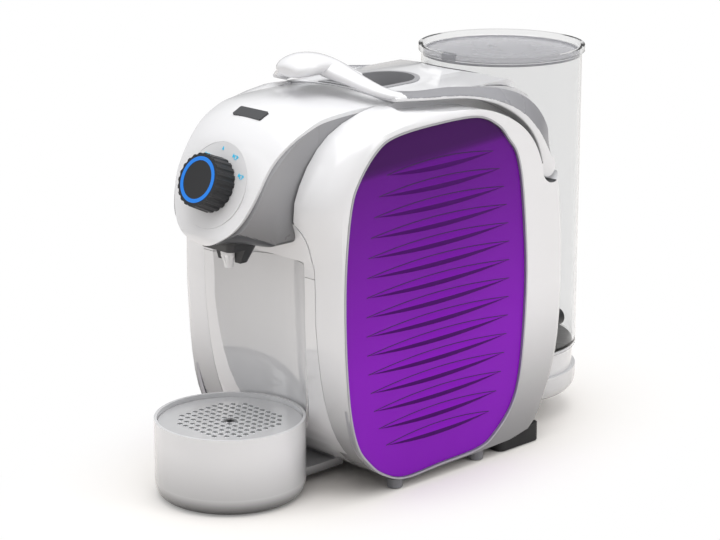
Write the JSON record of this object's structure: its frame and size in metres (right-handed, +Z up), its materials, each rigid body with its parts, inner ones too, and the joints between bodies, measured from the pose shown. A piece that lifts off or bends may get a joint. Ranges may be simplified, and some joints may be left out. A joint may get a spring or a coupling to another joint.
{
  "type": "pod coffee machine",
  "caption": "Pod coffee machine with a wishbone lever, ribbed side panels, a fluted dial, a pull-out drip drawer and a round water tank at the back.",
  "frame": {"origin": "centre of the bounding box on the surface that the machine stands on", "axes": "+Z up, -Y the front with the dial and the drip tray, +X to the right seen from the front"},
  "size_m": [0.174, 0.412, 0.3198],
  "materials": {
    "gloss_white": "gloss",
    "violet": "gloss",
    "bezel_silver": "satin",
    "cheek_grey": "satin",
    "dark_plastic": "satin",
    "mid_plastic": "satin",
    "light_plastic": "gloss",
    "bay_gloss": "gloss",
    "rubber_black": "matte",
    "chrome": "polished",
    "steel": "brushed",
    "pump_coat": "satin",
    "clear": "clear",
    "light_blue": "gloss",
    "icon_cyan": "gloss",
    "board_green": "matte"
  },
  "bodies": {
    "machine": {"side_housing_right": "gloss_white", "side_housing_left": "gloss_white", "side_panel_right": "violet", "side_panel_left": "violet", "panel_bezel_right": "bezel_silver", "panel_bezel_left": "bezel_silver", "head_cap": "gloss_white", "head_cowl": "cheek_grey", "top_deck": "gloss_white", "capsule_chute": "cheek_grey", "rear_cover": "gloss_white", "base_plate": "mid_plastic", "feet": "rubber_black", "rear_pads": "rubber_black", "bay_arch": "light_plastic", "dial_plate": "gloss_white", "dial_icons": "icon_cyan", "dial_encoder": "dark_plastic", "badge_plate": "chrome", "spout_bracket": "dark_plastic", "spout_nozzle": "gloss_white", "tank_shelf": "light_plastic", "tank_socket": "dark_plastic", "socket_seal": "rubber_black", "power_inlet": "dark_plastic", "switch_bezel": "dark_plastic", "brew_frame": "mid_plastic", "brew_head": "mid_plastic", "boiler": "steel", "pump": "pump_coat", "pump_mounts": "rubber_black", "flow_meter": "mid_plastic", "suction_hose": "rubber_black", "pressure_hose": "rubber_black", "coffee_hose": "rubber_black", "control_board": "board_green", "case_screws": "steel", "frame_plate_right": "mid_plastic", "frame_plate_left": "mid_plastic", "frame_shelves": "mid_plastic"},
    "lever": {"lever": "gloss_white", "lever_pins": "steel"},
    "brew_piston": {"brew_piston": "mid_plastic", "piston_seal": "rubber_black"},
    "dial": {"dial_knob": "dark_plastic", "dial_light_ring": "light_blue", "dial_face": "dark_plastic"},
    "drawer": {"drawer_front": "bay_gloss", "bay_wall": "bay_gloss", "capsule_bin": "mid_plastic", "drawer_floor": "mid_plastic", "tray_base": "light_plastic"},
    "tray": {"drip_tray": "light_plastic"},
    "grid": {"drip_grid": "chrome"},
    "tank": {"water_tank": "clear"},
    "tank_lid": {"tank_lid": "clear"},
    "tank_valve": {"tank_valve": "mid_plastic"},
    "power_switch": {"power_switch": "dark_plastic"}
  },
  "joints": [
    {"name": "lever_hinge", "type": "hinge", "parent": "machine", "child": "lever", "pos_m": [0, 0.107, 0.219], "axis": [-1, 0, 0], "range_deg": [0, 42]},
    {"name": "piston_slide", "type": "slide", "parent": "machine", "child": "brew_piston", "axis": [0, 1, 0], "range_m": [0, 0.022]},
    {"name": "dial_turn", "type": "hinge", "parent": "machine", "child": "dial", "pos_m": [0, -0.1613, 0.2355], "axis": [0, -0.9205, 0.3907], "range_deg": [-90, 90]},
    {"name": "drawer_slide", "type": "slide", "parent": "machine", "child": "drawer", "axis": [0, -1, 0], "range_m": [0, 0.11]},
    {"name": "tray_lift", "type": "slide", "parent": "drawer", "child": "tray", "axis": [0, 0, 1], "range_m": [0, 0.06]},
    {"name": "grid_lift", "type": "slide", "parent": "tray", "child": "grid", "axis": [0, 0, 1], "range_m": [0, 0.03]},
    {"name": "tank_lift", "type": "slide", "parent": "machine", "child": "tank", "axis": [0, 0, 1], "range_m": [0, 0.15]},
    {"name": "lid_lift", "type": "slide", "parent": "tank", "child": "tank_lid", "axis": [0, 0, 1], "range_m": [0, 0.04]},
    {"name": "valve_slide", "type": "slide", "parent": "tank", "child": "tank_valve", "axis": [0, 0, 1], "range_m": [0, 0.003], "stiffness_N_per_m": 150, "springref_m": -0.002},
    {"name": "switch_rock", "type": "hinge", "parent": "machine", "child": "power_switch", "pos_m": [-0.0725, 0.1245, 0.11], "axis": [-1, 0, 0], "range_deg": [0, 16]}
  ],
  "couplings": [
    {"joint": "piston_slide", "follows": "lever_hinge", "m_per_rad": 0.028}
  ]
}
